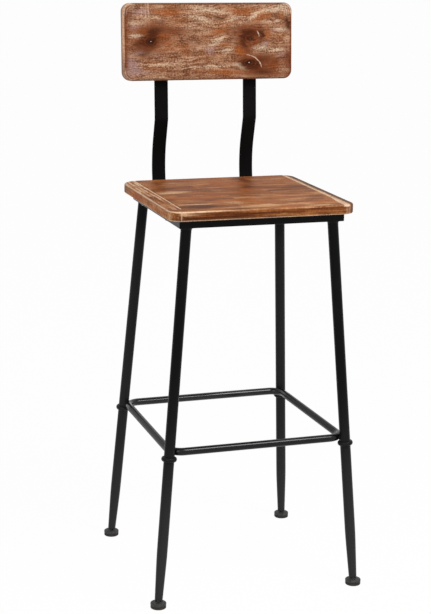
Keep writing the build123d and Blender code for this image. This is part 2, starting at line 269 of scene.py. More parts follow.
class Paint:
    # a colour built up in layers, each mixed in by its own mask
    def __init__(self, tint, colour):
        self.tint, self.colour = tint, colour

    def lay(self, layer, mask):
        self.colour = mask.blend(self.colour, self.tint[layer] if isinstance(layer, str) else layer)


def swing(*pairs):
    # noises counted from their middle value: sum of weight * (noise - 0.5)
    total = None
    for noise, weight in pairs:
        part = (noise - 0.5) * weight
        total = part if total is None else total + part
    return total


def fibre(x, y, z, detail, roughness, twist=0.0):
    # noise drawn out along the grain by the factors on its coordinates
    return x.join(x, y, z).noise(1.0, detail, roughness, twist)


def toneStops(tint, first):
    # the wood's own tones along a ramp, from dark to pale
    names = ("deep", "brown", "tan", "pale", "chalk")
    return [(place, tint[name]) for place, name in zip((first, 0.36, 0.55, 0.78, 1.0), names)]


def newFinish(name):
    # an empty principled material, with the wire of its object coordinates
    finish = bpy.data.materials.new(name)
    finish.use_nodes = True
    tree = finish.node_tree
    return finish, Wire(tree).add("ShaderNodeTexCoord", out=3), tree.nodes["Principled BSDF"]


def feed(shader, socket, wire):
    wire.tree.links.new(wire.socket, shader.inputs[socket])


def dress(shader, colour, roughness, height, strength, distance):
    # colour, roughness and a bump made from a height
    feed(shader, "Base Color", colour)
    feed(shader, "Roughness", roughness)
    sockets = {"Strength": strength, "Distance": distance, "Height": height}
    feed(shader, "Normal", height.add("ShaderNodeBump", None, sockets))


# the coat's dusty grey is partly dust, partly painted floor reflection and painted light on the rear legs
blackCoat = {"legs": {"colour": rgb(8, 8, 8), "worn": rgb(15, 14, 14), "roughness": 0.16, "specular": 0.07},
             "bars": {"colour": rgb(14, 13, 13), "worn": rgb(20, 18, 18), "roughness": 0.38, "specular": 0.02},
             "dusty": rgb(50, 50, 50), "wiped": 0.2, "tread": (0.34, 0.58), "treadRoughness": 0.12}


def makeBlackSteel(name, coat, polished):
    # satin powder coat: fine orange peel, faint clouds, greyer rubbed patches;
    # paler grey towards floor and rear, partly dust and partly painted light: a painted floor reflection low
    # down and painted light on the rear legs; shoes keep the footrest's front and rear runs polished and free
    # of it
    finish, spot, shader = newFinish(name)
    y, z = spot.parts()[1:]
    cloud = spot.noise(9, 4, 0.6)
    peel = spot.noise(900, 2, 0.5)
    rubbed = (cloud * 0.75 + spot.noise(160, 3, 0.6) * 0.25).step(0.45, 0.72)
    colour = rubbed.blend(coat["colour"], coat["worn"])
    # paler grey low and at the rear: partly dust, partly painted floor reflection and painted light on rear
    # legs
    dustAndSheenZone = z.step(0.02, 0.45, 0.95, 0).most(y.step(0.05, 0.17, 0, 0.55) * z.fall(0.6, 0.7))
    dust = dustAndSheenZone * (cloud * 0.6 + peel * 0.6).step(0.2, 0.7, 0.6, 1)
    if polished:
        front, rear = y.fall(-0.15, -0.135), y.step(0.105, 0.12)
        dust = dust * (front + rear).step(0, 1, 1, blackCoat["wiped"])
        gloss = front * blackCoat["tread"][0] + rear * blackCoat["tread"][1]
        feed(shader, "Coat Weight", gloss * cloud.step(0.3, 0.6, 0.8, 1))
        shader.inputs["Coat Roughness"].default_value = blackCoat["treadRoughness"]
    shader.inputs["Specular IOR Level"].default_value = coat["specular"]
    dress(shader, dust.blend(colour, blackCoat["dusty"]), cloud * 0.12 + dust * 0.1 + coat["roughness"],
          peel, 0.08, 0.0004)
    return finish


blackMould = {"colour": rgb(17, 16, 16), "dusty": rgb(62, 60, 59), "roughness": 0.55}


def makeBlackPlastic():
    # moulded plastic: fine spark texture with dust in the low places
    finish, spot, shader = newFinish("blackPlastic")
    dust = spot.noise(240, 3, 0.6).step(0.4, 0.66)
    dress(shader, dust.blend(blackMould["colour"], blackMould["dusty"]), dust * 0.2 + blackMould["roughness"],
          spot.noise(1400, 2, 0.5), 0.15, 0.0003)
    return finish


softSole = {"colour": rgb(15, 14, 14), "scuffed": rgb(58, 49, 44), "roughness": 0.78}


def makeBlackRubber():
    # rubber: matt, scuffed brownish where it meets the floor
    finish, spot, shader = newFinish("blackRubber")
    low = 1 - spot.parts()[2].step(0.0005, 0.004)
    scuff = (spot.noise(260, 4, 0.65) + low * 0.12).step(0.44, 0.7)
    dress(shader, scuff.blend(softSole["colour"], softSole["scuffed"]), scuff * 0.12 + softSole["roughness"],
          spot.noise(1100, 3, 0.6), 0.2, 0.0003)
    return finish


zincPlate = {"bright": rgb(176, 177, 178), "dull": rgb(128, 128, 127), "lowDark": rgb(46, 44, 42),
             "roughness": 0.36}


def makeZincSteel():
    # zinc plate: cloudy bright and dull flakes with fine turning marks, darker close to the floor
    finish, spot, shader = newFinish("zincSteel")
    flake = spot.noise(420, 3, 0.6).step(0.35, 0.7)
    # the plate turns darker close to the floor
    lowDark = spot.parts()[2].step(0.016, 0.03, 0.9, 0) * flake.step(0, 1, 0.8, 1)   # near the floor
    plate = flake.blend(zincPlate["bright"], zincPlate["dull"])
    shader.inputs["Metallic"].default_value = 1
    dress(shader, lowDark.blend(plate, zincPlate["lowDark"]), flake * 0.18 + lowDark * 0.3 + zincPlate["roughness"],
          spot.scaled(1, 1, 6).noise(900, 2, 0.5), 0.1, 0.0002)
    return finish


backTint = {"dark": rgb(66, 27, 9), "deep": rgb(96, 52, 30), "brown": rgb(130, 85, 60),
            "tan": rgb(163, 119, 90), "pale": rgb(190, 154, 125), "chalk": rgb(220, 194, 170),
            "orange": rgb(151, 81, 36), "cream": rgb(201, 174, 147), "lilac": rgb(164, 133, 128),
            "knot": rgb(48, 18, 7), "raw": rgb(238, 186, 150), "halo": rgb(116, 55, 24),
            "edge": rgb(128, 104, 88)}
# soft patches on the backrest's face in mm: x, height, half width and height, weight, slope in degrees if any
backStain = [(-121, 150, 13, 12.7, 1), (-116, 169, 25, 15.3, 0.9), (-141, 147, 12, 7, 0.5),
    (84, 167, 22, 9.8, 1), (75, 150, 11, 16.2, 0.9), (108, 161, 6, 11.7, 1), (84, 106, 24, 11, 1.5, -10),
    (119, 117, 28, 11.8, 0.6), (116, 90, 35, 5.9, 0.6), (166, 186, 8, 17, 1.3), (169, 109, 5, 24.7, 0.8),
    (23, 197, 13, 4.2, 0.9, -12), (-67, 215, 20, 2.9, 0.5), (-168, 206, 4, 15.8, 0.9),
    (-169, 168, 3, 14.2, 0.7), (-132, 128, 18, 9, 0.6), (-67, 174, 22, 5.8, 0.4), (49, 176, 30, 2.9, 0.5, 15),
    (-44, 85, 38, 2.9, 0.5), (-101, 190, 20, 3.2, 0.3), (-30, 151, 17, 7.7, 0.3)]
backHalo = [(-116, 164, 42, 22, 1), (-130, 140, 26, 11, 0.7), (90, 162, 36, 20, 1), (72, 138, 18, 20, 0.8),
    (94, 109, 36, 14, 1), (128, 108, 36, 20, 0.6), (60, 172, 36, 7, 0.6, 12), (-60, 172, 34, 9, 0.5),
    (110, 88, 50, 7, 0.7), (-160, 200, 10, 20, 0.6), (-20, 148, 30, 10, 0.3), (166, 120, 8, 30, 0.7)]
backOrange = [(-87, 207, 34, 7, 1), (65, 209, 17, 7.1, 0.9), (117, 198, 18, 6.5, 0.8, 12),
    (153, 201, 12, 7.2, 0.6), (24, 171, 15, 5.8, 0.9, 12), (63, 130, 12, 11.1, 1), (32, 144, 15, 4.5, 0.7, 8),
    (121, 165, 8, 13, 0.8), (32, 92, 42, 5.2, 0.9), (-101, 161, 20, 9, 0.7), (-43, 143, 14, 7.7, 0.4),
    (151, 159, 11, 7.8, 0.4), (-134, 171, 13, 7.6, 0.7), (-2, 163, 21, 5.2, 0.4)]
backCream = [(-2, 213, 45, 5.1, 0.9, -8), (-23, 197, 29, 5.7, 0.8, -10), (50, 193, 21, 3.5, 0.8, 18),
    (96, 201, 30, 4.6, 1, 24), (144, 213, 25, 5.9, 0.9, 12), (10, 148, 18, 5.2, 0.7, 15),
    (32, 132, 18, 4.9, 1, 5), (18, 156, 15, 4.5, 0.6, 15), (109, 138, 13, 7.2, 0.9), (144, 134, 22, 4.9, 0.9),
    (140, 190, 14, 3.6, 0.8), (154, 173, 18, 2.6, 0.8), (-148, 163, 17, 4.4, 1), (-151, 187, 17, 5.7, 0.7),
    (4, 103, 52, 2.3, 0.9, 3), (65, 102, 15, 4.5, 0.9, -28), (-85, 109, 42, 9, 0.5, 4),
    (-33, 183, 33, 5.8, 0.5, 8), (154, 93, 15, 4.6, 0.5), (-74, 126, 27, 4.5, 0.3, 8),
    (-121, 198, 20, 3.1, 0.4)]
backLilac = [(-159, 104, 14, 19.8, 1), (-141, 133, 11, 5.7, 0.7), (-151, 179, 15, 6.9, 0.7),
    (144, 172, 21, 4.6, 0.6), (3, 133, 10, 11, 0.8), (117, 145, 8, 7.2, 0.8), (-135, 91, 24, 5.8, 0.5),
    (-140, 209, 23, 6.9, 0.7), (158, 123, 14, 13.2, 0.5), (-108, 126, 20, 7.7, 0.4)]
backKnots = [(-0.119, 0.152), (0.085, 0.155), (0.083, 0.109)]
# pale curved checks beside the knots: centre, radius, lowest x and z offset that still shows
backChecks = [(0.088, 0.16, 0.0155, 0.01, -0.002), (0.08, 0.095, 0.0283, -0.004, 0.003)]


def patches(place, rows, second):
    # sum of soft ovals on x and a second axis, each in a frame turned by its slope:
    # weight * exp(-(a/wide)^2 - (b/high)^2)
    turned, total = {0: place}, 0
    for row in rows:
        *oval, weight, slope = (*row, 0)[:6]
        a, b, wide, high = [v / 1000 for v in oval]
        c, s = cos(radians(slope)), sin(radians(slope))
        if slope not in turned:
            axes = [(u, v * (second == 1), v * (second == 2)) for u, v in ((c, s), (-s, c))]
            level, rise = [place.vector("DOT_PRODUCT", place, axis, out=1) for axis in axes]
            turned[slope] = place.join(level, rise * (second == 1), rise * (second == 2))
        scale, offset = [1 / wide, 0, 0], [-(a * c + b * s) / wide, 0, 0]
        scale[second], offset[second] = 1 / high, (a * s - b * c) / high
        off = place.vector("MULTIPLY_ADD", turned[slope], scale, offset)
        far = off.vector("DOT_PRODUCT", off, off, out=1)
        total = far.maths("MULTIPLY_ADD", far.maths("POWER", np.exp(-1), far), weight, total)
    return total


def roundedEdge(a, b, halfA, halfB, corner):
    # signed distance to a rounded rectangle about 0, below 0 inside
    outA, outB = a.size() - (halfA - corner), b.size() - (halfB - corner)
    farA, farB = outA.most(0), outB.most(0)
    return (farA * farA + farB * farB).root() + outA.most(outB).least(0) - corner


def makeBackWood():
    # distressed board: grain bends round knots; stained and washed patches, dark halos, pale rubbed corners
    finish, spot, shader = newFinish("backWood")
    tint = backTint
    place = spot.add("ShaderNodeMapping", {"vector_type": "TEXTURE"},
                  {"Vector": spot, "Location": (0, *barShape["kink"]),
                   "Rotation": (radians(-barShape["topLean"]), 0, 0)})
    x, y, z = place.parts()
    drift = place.noise(28, 3, 0.6) - 0.5
    sway = place.scaled(1, 1, 2).plus((3.1, 0.7, 1.9)).noise(15, 3, 0.55) - 0.5
    level = z + sway * 0.024                    # grain runs level but wanders
    for kx, kz in backKnots:
        near = (x - kx).bell(0, 0.042) * (z - kz).bell(0, 0.022)
        level = level - (z - kz) * near * 0.7
    streak = fibre(x * 11, y * 60, level * 130, 6, 0.62, 0.3)
    ragged = fibre(x * 24, y * 200, level * 400, 5, 0.65)
    fine = fibre(x * 60, y * 600, level * 1100, 4, 0.65)
    fleck = place.noise(330, 3, 0.7)
    cloud = place.noise(46, 5, 0.65)

    tone = swing((streak, 0.8), (ragged, 0.8), (fleck, 0.9), (cloud, 0.9)) + 0.47
    paint = Paint(tint, tone.ramp(toneStops(tint, 0.12)))
    torn = spot.join(x + (ragged - 0.5) * 0.04 + drift * 0.024, y, z + sway * 0.01 + (fleck - 0.5) * 0.004)
    grit = swing((ragged, 1.2), (fleck, 1.3), (streak, 0.6))
    warm = place.scaled(1, 1, 1.8).plus((7.7, 2.2, 4.1)).noise(21, 4, 0.6)
    paint.lay("orange", (warm + grit * 0.2).step(0.48, 0.7, 0, 0.45))
    for name, rows, rough, low, high, most in (("lilac", backLilac, 0.6, 0.1, 0.8, 0.65),
                                               ("halo", backHalo, 0.9, 0.15, 0.85, 0.8),
                                               ("orange", backOrange, 0.8, 0.1, 0.8, 0.75),
                                               ("cream", backCream, 1.5, 0.15, 1.1, 0.82),
                                               ("dark", backStain, 1.4, 0.25, 1.05, 0.92)):
        paint.lay(name, (patches(torn, rows, 2) + grit * rough).step(low, high, 0, most))
    front = y.fall(-0.02, -0.016)
    for kx, kz in backKnots:
        reach = (((x - kx) * 0.72) ** 2 + ((z - kz) * 1.1) ** 2).root() + drift * 0.006
        ring = spot.maths("SINE", (reach + drift * 0.016 + grit * 0.003) * 1500)
        paint.lay("orange", ring.step(0.1, 0.9, 0, 0.25) * reach.fall(0.008, 0.014))
        paint.lay("knot", (reach + grit * 0.006).step(0.0008, 0.01, 0.85, 0))
        paint.lay("chalk", front * reach.step(0.0006, 0.0014, 0.9, 0))
    for cx, cz, radius, lowX, lowZ in backChecks:
        reach = ((x - cx) * (x - cx) + (z - cz) * (z - cz)).root()
        arc = (reach + drift * 0.01 + (fleck - 0.5) * 0.002).bell(radius, 0.0009)
        arc = arc * (x - cx).step(lowX, lowX + 0.004) * (z - cz).step(lowZ, lowZ + 0.004)
        paint.lay("chalk", arc * cloud.step(0.3, 0.5) * front * fleck.step(0.3, 0.55, 0.4, 0.85))
    sawn = fibre(x * 360, y * 60, z * 12, 3, 0.6).step(0.5, 0.72)
    paint.lay("chalk", sawn * x.bell(-0.138, 0.026) * z.step(0.174, 0.19, 0, 0.5) * front)

    halfWide, halfHigh, half = [panelShape[size] / 2 for size in ("width", "height", "thickness")]
    middle = panelShape["low"] + halfHigh
    rim = roundedEdge(x, z - middle, halfWide, halfHigh, panelShape["corner"])
    depth = (y + (half - panelShape["rear"])).size() - half              # below 0 between the two faces
    margin = rim.step(-0.0065, -0.0015) * (cloud * 0.8 + ragged * 0.5).step(0.45, 0.8, 0, 0.8)
    paint.lay("dark", margin)
    leftSide = x.fall(-0.16, -0.152)
    line = rim.step(-0.013, -0.005) * rim.fall(-0.0026, -0.0014) * leftSide
    line = line + rim.step(-0.0045, -0.0025) * x.step(0.155, 0.165) * z.fall(0.2, 0.212)
    paint.lay("halo", line * front * (cloud * 0.7 + fleck * 0.4).step(0.35, 0.7, 0.3, 0.95))
    # pale rim: partly raw wood, partly painted light; the left side face is painted as if lit from the left
    raw = rim.step(-0.002, -0.001) * (leftSide * 0.7 + 0.3 * depth.fall(-0.0016, -0.0006))
    paint.lay("raw", raw * (z + drift * 0.02).step(0.1, 0.15, 0.45, 1))
    paint.lay("edge", raw * y.step(-0.015, -0.01, 0, 0.85))
    atCorner = (x.size() - 0.146).step(0, 0.014) * ((z - middle).size() - 0.046).step(0, 0.014)
    upperRight = x.step(0.1, 0.14, 0, 0.8) * z.step(0.15, 0.18)
    ripple = (rim + drift * 0.004).bell(-0.0025, 0.0011) + (rim + drift * 0.005).bell(-0.007, 0.001) * 0.7
    ripple = ripple * (x.step(-0.01, 0.01, 0.5, 0) + upperRight)
    inner = (rim + drift * 0.005).bell(-0.011, 0.0011) + (rim + drift * 0.006).bell(-0.015, 0.0012)
    ripple = ripple + inner * upperRight
    paint.lay("chalk", ripple * atCorner * front * (cloud + fleck * 0.3).step(0.38, 0.62, 0.3, 1))
    shade = swing((ragged, 1.5), (fleck, 1.8), (fine, 0.7)) + 0.95
    shader.inputs["Specular IOR Level"].default_value = 0.06
    dress(shader, paint.colour.times(shade), streak * 0.25 + 0.45,
          fine * 0.5 + ragged * 0.7 + streak * 0.5, 0.35, 0.0006)
    return finish


seatTint = {"dark": rgb(66, 31, 15), "deep": rgb(92, 49, 26), "brown": rgb(126, 72, 38),
            "tan": rgb(157, 97, 53), "pale": rgb(190, 133, 86), "chalk": rgb(232, 198, 166),
            "orange": rgb(166, 90, 38), "grey": rgb(150, 112, 88), "cream": rgb(216, 172, 130),
            "rim": rgb(78, 60, 48), "stain": rgb(88, 36, 18), "flank": rgb(192, 118, 72),
            "red": rgb(176, 84, 48)}
seatPlan = {"half": (0.179, 0.173), "middle": -0.00975, "corner": 0.025, "top": 0.75, "bottom": 0.732,
            "frontJoint": -0.15475, "stave": 0.03975}
# soft patches on the seat's top in mm: x, y, half width, half depth, weight
seatDark = [(-109, -140, 40, 16, 1.3), (-136, -65, 16, 16, 0.5), (-73, -81, 22, 14, 0.6),
    (-111, 56, 26, 17, 0.7), (55, 36, 34, 19, 0.6), (140, -76, 24, 16, 0.6), (123, 7, 23, 13, 0.4),
    (50, -89, 22, 12, 0.4), (-46, -176, 25, 9, 0.7), (83, -168, 21, 8, 0.4), (125, 68, 27, 15, 0.3),
    (-16, -29, 22, 10, 0.4)]
# reddish patches: the first three, long in depth, are painted reflections of the back bars; the last is a
# small reddish patch
seatBarReflections = [(64, 118, 13, 45, 1), (45, 45, 12, 29, 0.9), (-118, 109, 18, 30, 0.8), (116, -44, 26, 16, 0.4)]
seatOrange = [(1, 105, 25, 31, 0.8), (6, 43, 19, 19, 0.6), (14, -123, 33, 17, 0.7), (-136, -49, 14, 16, 0.6),
    (67, -88, 37, 18, 0.5), (-63, -27, 31, 12, 0.6), (124, -144, 31, 13, 0.7), (53, -176, 39, 7, 0.8),
    (-64, 96, 23, 22, 0.5), (115, 121, 28, 23, 0.5)]
seatCream = [(-109, 17, 39, 11, 1), (-75, -29, 22, 8, 0.6), (-36, -111, 23, 14, 0.7), (22, -150, 34, 9, 0.7),
    (83, -118, 29, 10, 0.5), (140, 121, 24, 14, 0.5), (43, -43, 24, 10, 0.5), (-21, -156, 61, 8, 0.7),
    (112, -172, 29, 8, 0.9), (-27, 23, 22, 11, 0.4), (145, -19, 23, 11, 0.4)]
# pale lines where staves meet: first and last x, and y
staveLines = [(-0.147, -0.086, 0.0045), (-0.147, -0.06, -0.115)]


def makeSeatWood():
    # glued staves along x, each with its own tone and grain, under stains, painted reflections of the back
    # bars, arrises pale partly from rubbing and partly from a painted highlight, and joint lines
    finish, spot, shader = newFinish("seatWood")
    tint = seatTint
    x, y, z = spot.parts()
    drift = spot.noise(26, 3, 0.6) - 0.5
    sway = spot.scaled(1, 2.5, 1).plus((5.3, 1.7, 0.9)).noise(22, 3, 0.6) - 0.5
    stave = (y - seatPlan["frontJoint"]) * (1 / seatPlan["stave"])
    row = stave.floor()
    length = (x + spot.join(row, 3, 7).speck() * 0.21) * (1 / 0.19)
    piece = spot.join(row, length.floor(), 2).speck()
    level = y + sway * 0.006 + piece * 0.3
    broad = fibre(x * 7 + piece * 9, level * 52, z * 52, 4, 0.6, 0.5)
    streak = fibre(x * 9 + piece * 9, level * 120, z * 200, 6, 0.62, 0.3)
    ragged = fibre(x * 16, level * 360, z * 360, 5, 0.65)
    fine = fibre(x * 50, level * 900, z * 900, 4, 0.65)
    cloud = spot.noise(42, 5, 0.65)
    fleck = spot.noise(300, 3, 0.7)
    stops = toneStops(tint, 0.1)

    tone = swing((broad, 1.2), (streak, 0.8), (ragged, 0.7), (fleck, 0.5), (cloud, 0.5))
    paint = Paint(tint, (tone + piece * 0.2 + y.step(-0.15, -0.08, 0.42, 0.37)).ramp(stops))
    warm = fibre(x * 10 + piece * 5, level * 36, z * 90, 4, 0.6, 0.4)
    paint.lay("orange", warm.step(0.45, 0.68, 0, 0.6))
    torn = spot.join(x + (ragged - 0.5) * 0.075 + (streak - 0.5) * 0.04 + drift * 0.02, y + sway * 0.012, z)
    grit = swing((ragged, 1.4), (fleck, 0.7), (broad, 0.7))
    upper = z.step(0.7455, 0.748)
    # the reddish layer's long patches on the top are painted reflections of the back bars
    for name, rows, rough, most in (("orange", seatOrange, 1.2, 0.7), ("cream", seatCream, 1.6, 0.8),
                                    ("stain", seatBarReflections, 1.8, 0.8), ("dark", seatDark, 1.8, 0.85)):
        paint.lay(name, (patches(torn, rows, 1) + grit * rough).step(0.24, 0.86, 0, most) * upper)

    onPlanks = x.step(-0.1495, -0.1485) * x.fall(0.1635, 0.1645) * y.step(-0.156, -0.154)
    seamGap = (stave - (stave + 0.5).floor()).size() * seatPlan["stave"]
    joint = seamGap.fall(0.0002, 0.0012) * onPlanks * cloud.step(0.35, 0.6)
    paint.lay("dark", joint * 0.55)
    for first, last, across in staveLines:
        frayed = x + (ragged - 0.5) * 0.05
        line = (y + drift * 0.004 + (ragged - 0.5) * 0.003).bell(across, 0.0032)
        line = line * frayed.fall(last - 0.03, last) * x.step(first, first + 0.004) * upper
        paint.lay("chalk", line * (ragged * 0.7 + fleck * 0.5).step(0.42, 0.7, 0.15, 0.95))

    # the left strip's grain runs along its length
    strip = x.fall(-0.15, -0.149) * y.step(-0.156, -0.154)
    along = fibre((x + drift * 0.006) * 240, y * 11, z * 160, 5, 0.62, 0.3)
    stripTone = swing((along, 3.2), (cloud, 0.9), (fleck, 0.9)) + y.step(-0.12, 0.06, 0.52, 0.74)
    greyed = (along * 0.6 + cloud * 0.5).step(0.45, 0.7, 0, 0.35)
    paint.lay(greyed.blend(stripTone.ramp(stops), tint["grey"]), strip)
    side = z.fall(0.7465, 0.748)
    flank = side * x.fall(-0.1775, -0.1765)
    flankGrain = fibre(y * 13, z * 260, 3, 5, 0.62, 0.3)
    flankTone = swing((flankGrain, 2.4), (cloud, 0.8), (fleck, 0.6)) + 0.64
    paint.lay(flankTone.ramp(stops), flank)
    paint.lay("flank", flank * (cloud * 0.6 + flankGrain * 0.6).step(0.48, 0.72, 0.15, 0.8))
    paint.lay("red", flank * y.bell(0.04, 0.035) * (cloud * 0.7 + fleck * 0.4).step(0.35, 0.65, 0.1, 0.85))
    paint.lay("grey", flank * y.step(0.085, 0.11, 0, 0.6))
    crack = fibre(x, y * 70, z * 45, 4, 0.65, 0.4).step(0.52, 0.66) * y.step(-0.1, 0.05, 1, 0.5)
    paint.lay("deep", flank * crack * 0.5)

    # front face: long streaks, a dark one low at the left and a reddish one high at the right
    face = side * y.fall(-0.1815, -0.1805)
    grain = fibre(x * 8, 0.5, (z + sway * 0.004) * 240, 5, 0.62, 0.4)
    faceTone = swing((grain, 2), (cloud, 0.5), (fleck, 0.4)) + x.step(-0.1, 0.06, 0.14, 0.38)
    paint.lay(faceTone.ramp(stops), face)
    band = (z + (grain - 0.5) * 0.008).bell(0.7385, 0.0024) * x.step(-0.165, -0.15)
    band = band * x.step(-0.06, 0.03, 1, 0.3)
    paint.lay("dark", face * band * 0.9)
    band = (z + (grain - 0.5) * 0.006).bell(0.7455, 0.0022) * x.step(0, 0.08)
    paint.lay("stain", face * band * 0.8)
    ends = face * x.size().step(0.158, 0.161)
    paint.lay("dark", ends * (cloud * 0.6 + fleck * 0.6).step(0.45, 0.75, 0, 0.8))
    paint.lay("chalk", face * x.size().bell(0.159, 0.0012) * 0.5 * cloud.step(0.4, 0.6))
    patch = face * x.bell(-0.15, 0.022) * (z + drift * 0.004).step(0.741, 0.744)
    paint.lay("cream", patch * (grain + cloud).step(0.75, 1.1, 0.1, 0.8))

    turn = side * x.step(0.158, 0.164) * y.fall(-0.15, -0.14)        # the two front corners
    paint.lay("grey", turn * (cloud * 0.6 + fleck * 0.4).step(0.3, 0.6, 0.5, 0.9))
    turn = side * y.fall(-0.168, -0.158) * (cloud * 0.5 + fleck * 0.6).step(0.38, 0.68, 0.2, 0.9)
    paint.lay("cream", turn * x.step(-0.1765, -0.1725, 0.9, 0))
    paint.lay("deep", turn * x.bell(-0.167, 0.0045))

    rim = roundedEdge(x, y - seatPlan["middle"], *seatPlan["half"], seatPlan["corner"])
    top, bottom = seatPlan["top"], seatPlan["bottom"]
    depth = (z - (top + bottom) / 2).size() - (top - bottom) / 2
    nearRim, nearFace = rim.most(-0.012), depth.most(-0.012)
    arris = (nearRim * nearRim + nearFace * nearFace).root()
    # pale arrises: partly rubbed wear, partly a painted highlight, on the bottom edges and mainly the left top
    # edges
    rubbed = arris.step(0.0013, 0.0028, 0.9, 0)
    rubbed = rubbed * (cloud * 0.8 + fleck * 0.6 - x.step(-0.175, -0.165, 0, 0.14)).step(0.28, 0.62)
    low = z.fall(0.74, 0.742)
    wearAndHighlightShare = low * 0.75 + (1 - low) * (x.step(-0.13, -0.02, 1, 0.2) * x.fall(0.14, 0.16))
    paint.lay("chalk", rubbed * wearAndHighlightShare)
    rightRim = (x + drift * 0.002).step(0.1665, 0.169)
    paint.lay("rim", rightRim * (cloud * 0.5 + ragged * 0.5).step(0.25, 0.6, 0.45, 0.9))
    rightStart = y.step(-0.15, -0.09, 0.006, 0)            # the pale line widens towards the front
    rightLine = (x + drift * 0.004 + rightStart).step(0.158, 0.161)
    rightLine = rightLine * (x + drift * 0.002).fall(0.165, 0.1675) * upper
    paint.lay("chalk", rightLine * (cloud * 0.6 + ragged * 0.5).step(0.3, 0.6, 0.25, 0.9))
    leftLine = (x + drift * 0.0015).bell(-0.1515, 0.0016) * y.step(-0.1545, -0.1525) * upper
    paint.lay("chalk", leftLine * (cloud * 0.6 + fleck * 0.4).step(0.3, 0.55, 0.3, 0.95))
    shade = swing((ragged, 1.2), (fleck, 0.8), (broad, 0.4), (fine, 0.4)) + 0.97
    shader.inputs["Specular IOR Level"].default_value = 0.03
    dress(shader, paint.colour.times(shade), streak * 0.25 + 0.36,
          fine * 0.5 + ragged * 0.7 + streak * 0.5 - joint * 0.6, 0.35, 0.0006)
    return finish


blackSteel = makeBlackSteel("blackSteel", blackCoat["legs"], False)
shinySteel = makeBlackSteel("shinySteel", blackCoat["legs"], True)
barSteel = makeBlackSteel("barSteel", blackCoat["bars"], False)
blackPlastic = makeBlackPlastic()
blackRubber = makeBlackRubber()
zincSteel = makeZincSteel()
seatWood = makeSeatWood()
print("stool: finishes ready")

# feet at the floor and leg tops under the seat frame, as x, y
corners = {"front_left": ((-0.1975, -0.18725), (-0.142, -0.15625)),
           "front_right": ((0.1975, -0.18725), (0.142, -0.15625)),
           "rear_left": ((-0.18925, 0.18725), (-0.142, 0.12375)),
           "rear_right": ((0.18925, 0.18725), (0.142, 0.12375))}
# the bore runs past the stem's end
legShape = {"ball": 0.007, "top": 0.717, "radius": 0.010, "tip": 0.0075, "tipAt": 0.0086, "taper": 0.085,
            "soft": 0.00022, "bore": 0.0060, "boreDepth": 0.030, "sides": 48}
legWeld = {"height": 0.0025, "drop": 0.014, "start": 0.016, "fall": 0.0026, "ripple": 0.16, "ripples": 19,
           "lump": 0.25}


def legLine(name):
    # foot point, unit vector up the leg and its length to the seat frame
    (fx, fy), (tx, ty) = corners[name]
    foot = np.array([fx, fy, legShape["ball"]])
    run = np.array([tx, ty, legShape["top"]]) - foot
    length = np.linalg.norm(run)
    return foot, run / length, length


def legAt(name, height):
    # the leg line's point at a height
    foot, up = legLine(name)[:2]
    return foot + up * (height - foot[2]) / up[2]


def makeLeg(name, seed):
    # tube round the leg line: radius grows from the tip over the swage, and a rippled weld flares at the top
    foot, up, length = legLine(name)
    shape, weld = legShape, legWeld
    a, b = sideways(up)
    t = around(shape["sides"])
    tip, knee, bore, end = shape["tipAt"], shape["tipAt"] + shape["taper"], shape["bore"], shape["tip"]
    lip = np.array([[bore, tip + shape["boreDepth"]], [bore, tip + 0.0005], [bore + 0.0004, tip],
                    [end - 0.0005, tip], [end - 0.0001, tip + 0.0002]])          # bore and eased rim
    s = np.concatenate([np.linspace(tip + 0.0006, knee + 0.02, 40),
                        np.linspace(knee + 0.03, length - weld["start"], 24)])
    slope = (shape["radius"] - end) / shape["taper"]
    r = shape["radius"] - shape["soft"] * np.logaddexp(0, slope * (knee - s) / shape["soft"])
    radius = np.concatenate([lip[:, 0], r])[:, None] + np.zeros_like(t)
    along = np.concatenate([lip[:, 1], s])[:, None] + np.zeros_like(t)
    below = np.linspace(weld["drop"], 0, 30)[:, None]
    ripple = np.sin(weld["ripples"] * t + 0.9 * np.sin(3 * t) + below * 900)
    bead = weld["height"] * np.exp(-(below / weld["fall"]) ** 1.6)
    topRadius = shape["radius"] + bead * (1 + weld["ripple"] * ripple + weld["lump"] * wave(t, seed, 6))
    topAlong = (shape["top"] - foot[2] - topRadius * (np.cos(t) * a[2] + np.sin(t) * b[2])) / up[2] - below
    grid = spunGrid(foot, up, t, np.concatenate([radius, topRadius]), np.concatenate([along, topAlong]))
    addPiece("leg." + name, [(grid, False)], blackSteel, "frame", ["leg_" + name])


for number, name in enumerate(corners):
    makeLeg(name, 11 + number)
print("stool: legs done")

footrest = {"radius": 0.00725, "bend": 0.026, "front": 0.2974, "rear": 0.2946, "bite": 0.001,
            "spacing": 0.0018, "sides": 36}
footWeld = {"radius": 0.0015, "reach": 0.0052, "sink": 0.0006, "curve": 0.0011, "ripple": 0.14, "ripples": 15,
            "lump": 0.25, "sides": (64, 14)}
collarShape = {"radius": 0.0046, "fit": 0.00003, "gap": 0.0001, "fullness": 0.92, "rows": 22, "sides": 64}


def footrestLevel(name):
    return footrest["front"] if name.startswith("front") else footrest["rear"]


def footrestCorner(name):
    # sharp corner of the bar's middle line, inside the leg by the amount that makes the bend bite it
    reach = footrest["bend"] + legShape["radius"] + footrest["radius"] - footrest["bite"]
    inset = reach / sqrt(2) - footrest["bend"]
    point = legAt(name, footrestLevel(name))
    return point - np.array([np.sign(point[0]) * inset, np.sign(point[1]) * inset, 0])


def makeFootrest():
    # a circle carried round the closed path of straight runs and bends
    order = ["front_left", "front_right", "rear_right", "rear_left"]
    bends = [footrest["bend"]] * len(order)
    path = roundedPath([footrestCorner(name) for name in order], bends, True, footrest["spacing"])
    t = around(footrest["sides"])
    section = footrest["radius"] * np.stack([np.cos(t), np.sin(t)], -1)
    grid = sweptGrid(path, section, (0, 0, 1), True)
    addPiece("footrest.bar", [(grid, True)], shinySteel, "frame", ["footrest_ring"])


